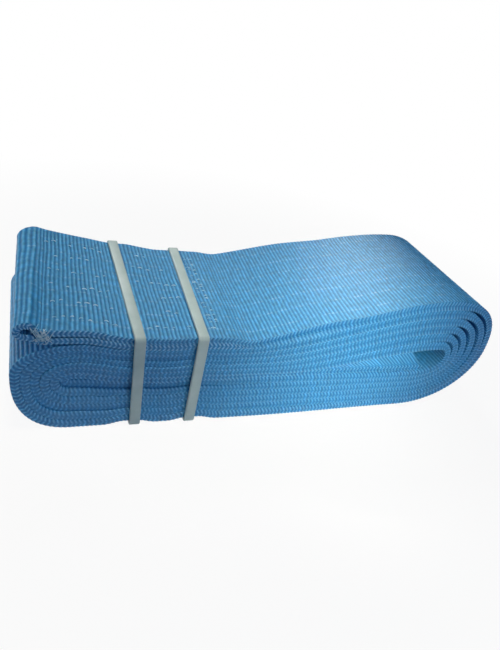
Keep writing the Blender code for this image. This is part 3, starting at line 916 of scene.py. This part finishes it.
def thread_material():
    """Pale sewing thread, a little uneven, with fine fibres."""
    nodes = Nodes("sewing_thread")
    place = nodes.place()
    uneven = nodes.noise(place, THREAD_NOISE, 3.0)
    fibres = nodes.noise(place, FIBRE_NOISE, 2.0)
    return nodes.finish(
        Base_Color=nodes.ramp(uneven, THREAD_COLOURS),
        Roughness=nodes.span(fibres, 0.5, 0.7),
        Sheen_Weight=0.2,
        Normal=nodes.bump(fibres, *THREAD_BUMP),
    )


def nylon_material():
    """Natural nylon: milky, a little translucent, with faint flow marks and fine scuffs."""
    nodes = Nodes("natural_nylon")
    place = nodes.place()
    cloud = nodes.noise(place, CLOUD_NOISE, 3.0)
    scuff = nodes.noise(place, SCUFF_NOISE, 4.0)
    return nodes.finish(
        Base_Color=nodes.ramp(cloud, NYLON_COLOURS),
        Roughness=nodes.span(scuff, *NYLON_ROUGHNESS),
        Subsurface_Weight=0.35,
        Subsurface_Radius=(0.9, 1.0, 1.0),
        Subsurface_Scale=NYLON_DEPTH,
        Normal=nodes.bump(scuff, *NYLON_BUMP),
    )


def build_camera():
    right, down = Vector(CAMERA_RIGHT), Vector(CAMERA_DOWN)
    turn = Matrix((right, -down, right.cross(-down))).transposed().to_4x4()
    camera = bpy.data.objects.new("camera", bpy.data.cameras.new("camera"))
    at = Vector((frame_x(CAMERA_AT[0]), CAMERA_AT[1], CAMERA_AT[2]))
    camera.matrix_world = Matrix.Translation(at) @ turn
    camera.data.sensor_fit = "HORIZONTAL"
    camera.data.sensor_width = SENSOR
    camera.data.lens = SENSOR * FOCAL_PIXELS / FRAME_WIDTH
    camera.data.clip_start = CLIP_START
    bpy.context.scene.collection.objects.link(camera)
    bpy.context.scene.camera = camera


def area_light(name, at, target, size, beam, power, colour):
    lamp = bpy.data.lights.new(name, "AREA")
    lamp.color = colour
    lamp.shape = "SQUARE"
    lamp.size = size
    lamp.spread = math.radians(beam)
    lamp.energy = power
    made = bpy.data.objects.new(name, lamp)
    made.location = at
    made.rotation_mode = "QUATERNION"
    made.rotation_quaternion = (Vector(target) - Vector(at)).to_track_quat("-Z", "Y")
    bpy.context.scene.collection.objects.link(made)


def seen_directly(look):
    """1 for rays from the camera, straight or by way of a mirror or glass."""
    path = look.add("ShaderNodeLightPath")
    sum_of = look.math("ADD", path.outputs["Is Camera Ray"], path.outputs["Is Glossy Ray"])
    return look.math("MINIMUM", look.math("ADD", sum_of, path.outputs["Is Transmission Ray"]), 1.0)


def build_floor():
    """A pale floor that keeps the object's shadow."""
    mesh = bpy.data.meshes.new("floor")
    signs = ((-1, -1), (1, -1), (1, 1), (-1, 1))
    corners = [(FLOOR_REACH * right, FLOOR_REACH * back, 0.0) for right, back in signs]
    mesh.from_pydata(corners, [], [(0, 1, 2, 3)])
    floor = bpy.data.objects.new("floor", mesh)
    floor.location.z = -FLOOR_DROP
    bpy.context.scene.collection.objects.link(floor)
    look = Nodes("floor_white")
    look.finish(Base_Color=FLOOR_WHITE, Roughness=0.9)
    away = look.add("ShaderNodeVectorMath", {0: look.place()}, operation="LENGTH").outputs["Value"]
    glow_share = look.span(away, FLOOR_GLOW, 1.0, *GLOW_REACH)
    seen = look.math("MULTIPLY", seen_directly(look), glow_share)
    glow = look.add("ShaderNodeEmission", {"Color": (1.0, 1.0, 1.0, 1.0), "Strength": 1.0})
    both = look.add("ShaderNodeMixShader", {0: seen, 1: look.shader.outputs[0], 2: glow.outputs[0]})
    look.put(look.tree.nodes["Material Output"].inputs["Surface"], both.outputs[0])
    mesh.materials.append(look.material)


def build_light():
    """An even world, white where it is seen, and soft lamps."""
    world = bpy.data.worlds.new("studio")
    bpy.context.scene.world = world
    world.use_nodes = True
    tree = world.node_tree
    path = tree.nodes.new("ShaderNodeLightPath")
    level = tree.nodes.new("ShaderNodeMix")
    level.data_type = "RGBA"
    level.inputs[6].default_value = (*[AMBIENT * part for part in COOL], 1.0)
    level.inputs[7].default_value = (*NEUTRAL, 1.0)
    tree.links.new(path.outputs["Is Camera Ray"], level.inputs[0])
    tree.links.new(level.outputs[2], tree.nodes["Background"].inputs["Color"])
    for name, settings in LAMPS.items():
        area_light(name, *settings)


def dress(piece, material, slot, *nodes):
    """Give a piece its material and hide the solids of the nodes it stands for; the slot is not
    used.
    """
    piece.data.materials.append(material)
    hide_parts(*nodes)
    return piece


def follow_loop(piece):
    """Bake a piece's transform into its mesh, for the pieces of the loop beside the left tie."""
    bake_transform(piece)


def build_webbing():
    webbing = webbing_material()
    plain_rows = np.array([-WIDTH / 6, WIDTH / 6])
    inner_section = strap_section(INNER_EDGE_HEIGHTS, plain_rows, plain_rows[:1])
    outer_section = strap_section(EDGE_HEIGHTS, fine_rows(), plain_rows)
    loop_section = strap_section(EDGE_HEIGHTS, fine_rows(), fine_rows())
    sag_rows = np.linspace(-WIDTH / 2, (EDGE_SAG - 0.5) * WIDTH, 12)[1:]
    end_rows = np.unique(np.concatenate([sag_rows, fine_rows()]))
    end_section = strap_section(EDGE_HEIGHTS, end_rows, end_rows)
    stretches = {
        "strap_inner_end": (end_line, COLUMNS_PER_RIB, end_section),
        "strap_inner_turns": (between_sides(inner_line), INNER_COLUMNS_PER_RIB, inner_section),
        "strap_outer_turn": (between_sides(outer_line), COLUMNS_PER_RIB, outer_section),
        "strap_end_loop": (loop_line, COLUMNS_PER_RIB, loop_section),
    }
    along = 0.0
    for name, (line_at, columns_per_rib, section) in stretches.items():
        is_loop = name == "strap_end_loop"
        # The loop's selvedge gets the most painted highlight
        wear_and_highlight_amount = LOOP_EDGE_WEAR_AND_HIGHLIGHT if is_loop else EDGE_WEAR_AND_HIGHLIGHT
        piece, length = strap(name, line_at, columns_per_rib, section, wear_and_highlight_amount, along)
        along += length
        if is_loop:
            follow_loop(dress(piece, webbing, "webbing", "end_loop", "loop_tail"))
        else:
            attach(dress(piece, webbing, "webbing", "belt_roll"), "roll")


def build_stitching():
    thread = thread_material()
    seams = {
        "stitch_loop": (LOOP_SEAM_X, seam_places(SEAM_ROWS), loop_top, "loop_seam"),
        "stitch_tail": (TAIL_SEAM_X, seam_places(SEAM_ROWS), outer_top, "tail_seam"),
    }
    tack_rows = seam_places(round((WIDTH - 2 * SEAM_MARGIN) / TACK_PITCH) + 1)
    seams["stitch_tack"] = (TACK_X, tack_rows, outer_top, "end_tack")
    chance = np.random.default_rng(SEED)
    for name, (ends, rows, surface, node) in seams.items():
        stitches = [stitch for y in rows for stitch in sewn_row(*ends, y, surface, chance)]
        seam = dress(solid(name, stitches), thread, "thread", node)
        if name == "stitch_loop":
            follow_loop(seam)
        else:
            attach(seam, "roll")
    throat = solid("stitch_throat", throat_stitches())
    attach(dress(throat, thread, "thread", "throat_stitch"), "loop")


def build_ties():
    nylon = nylon_material()
    for tie, (side, skew) in zip(TIE_X, TIE_SKEW.items()):
        made = solid("cable_tie_" + side, [tie_strap(tie, skew), tie_head(tie)], closed=(1,))
        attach(dress(made, nylon, "tie", "tie_" + side), "roll")
        pawl = bpy.data.objects["pawl_" + side]
        pawl.data.materials.clear()
        pawl.data.materials.append(nylon)


def main():
    build_webbing()
    build_stitching()
    build_ties()
    build_camera()
    build_floor()
    build_light()
    bpy.context.scene.view_settings.view_transform = "Standard"


main()
